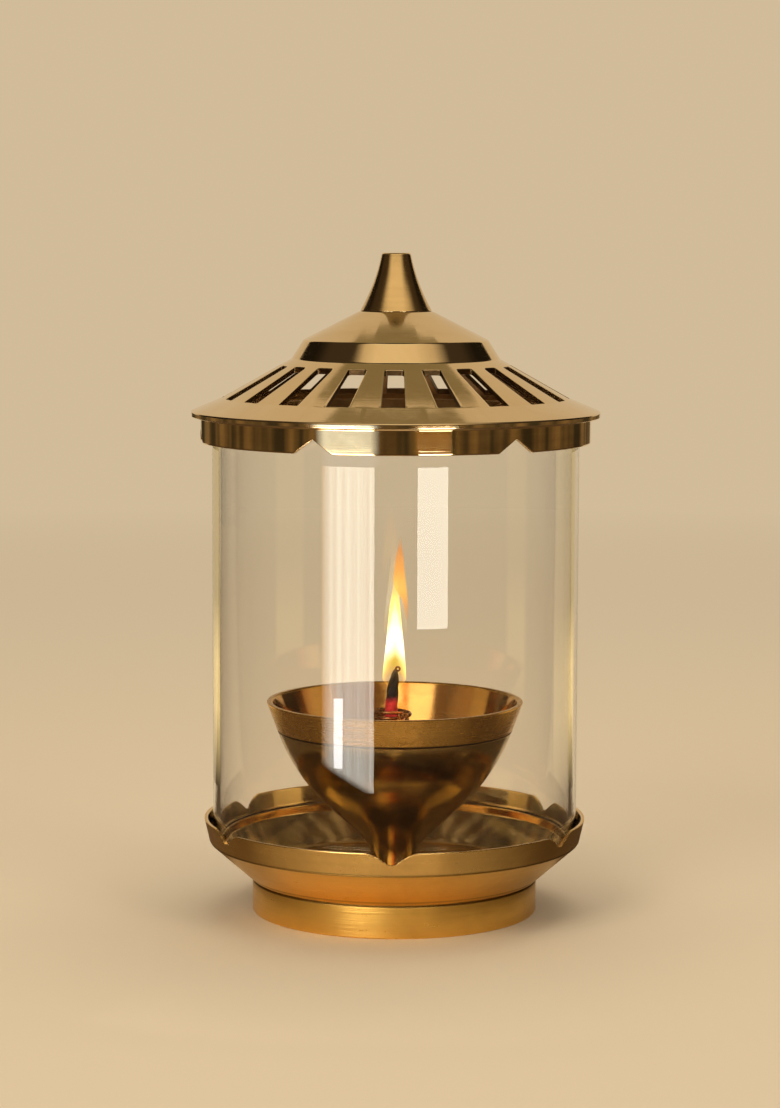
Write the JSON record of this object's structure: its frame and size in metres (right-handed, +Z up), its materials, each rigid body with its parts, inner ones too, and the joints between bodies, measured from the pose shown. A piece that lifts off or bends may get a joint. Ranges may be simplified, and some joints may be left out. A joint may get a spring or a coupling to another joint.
{
  "type": "oil lamp",
  "caption": "Standing brass oil lamp: notched tray on a foot ring, conical oil bowl with a wick, clear glass cylinder and a slotted lid with a tapered knob.",
  "frame": {"origin": "on the table, under the middle of the tray", "axes": "+Z up along the lamp's axis, the front of the lamp faces -Y, +X is to the viewer's right"},
  "size_m": [0.1224, 0.1224, 0.1982],
  "materials": {
    "tray_brass": "satin, turned",
    "bowl_brass": "satin, turned",
    "lid_brass": "polished",
    "holder_wire": "drawn wire, dulled by heat",
    "fixing_steel": "zinc plated",
    "wick_cotton": "twisted cotton, charred at the top",
    "clear_glass": "clear"
  },
  "bodies": {
    "tray": {"base_tray": "tray_brass", "stud_washer": "fixing_steel", "stud_nut": "fixing_steel"},
    "stud": {"bowl_stud": "fixing_steel"},
    "bowl": {"oil_bowl": "bowl_brass"},
    "wick_stand": {"wick_holder": "holder_wire"},
    "wick_thread": {"wick": "wick_cotton"},
    "shade": {"glass_chimney": "clear_glass"},
    "lid_body": {"lid": "lid_brass", "finial": "lid_brass", "finial_washer": "fixing_steel", "finial_screw": "fixing_steel"}
  },
  "joints": [
    {"name": "bowl_rise", "type": "slide", "parent": "tray", "child": "stud", "axis": [0, 0, 1], "range_m": [0, 0.006]},
    {"name": "bowl_turn", "type": "hinge", "parent": "stud", "child": "bowl", "pos_m": [0, 0, 0.0116], "axis": [0, 0, 1], "range_deg": [0, 2160]},
    {"name": "holder_lift", "type": "slide", "parent": "bowl", "child": "wick_stand", "axis": [0, 0, 1], "range_m": [0, 0.04]},
    {"name": "wick_feed", "type": "slide", "parent": "wick_stand", "child": "wick_thread", "axis": [0, 0, 1], "range_m": [0, 0.012]},
    {"name": "glass_lift", "type": "slide", "parent": "tray", "child": "shade", "axis": [0, 0, 1], "range_m": [0, 0.07]},
    {"name": "lid_lift", "type": "slide", "parent": "shade", "child": "lid_body", "axis": [0, 0, 1], "range_m": [0, 0.03]}
  ],
  "couplings": [
    {"joint": "bowl_rise", "follows": "bowl_turn", "m_per_rad": 0.00015915}
  ]
}
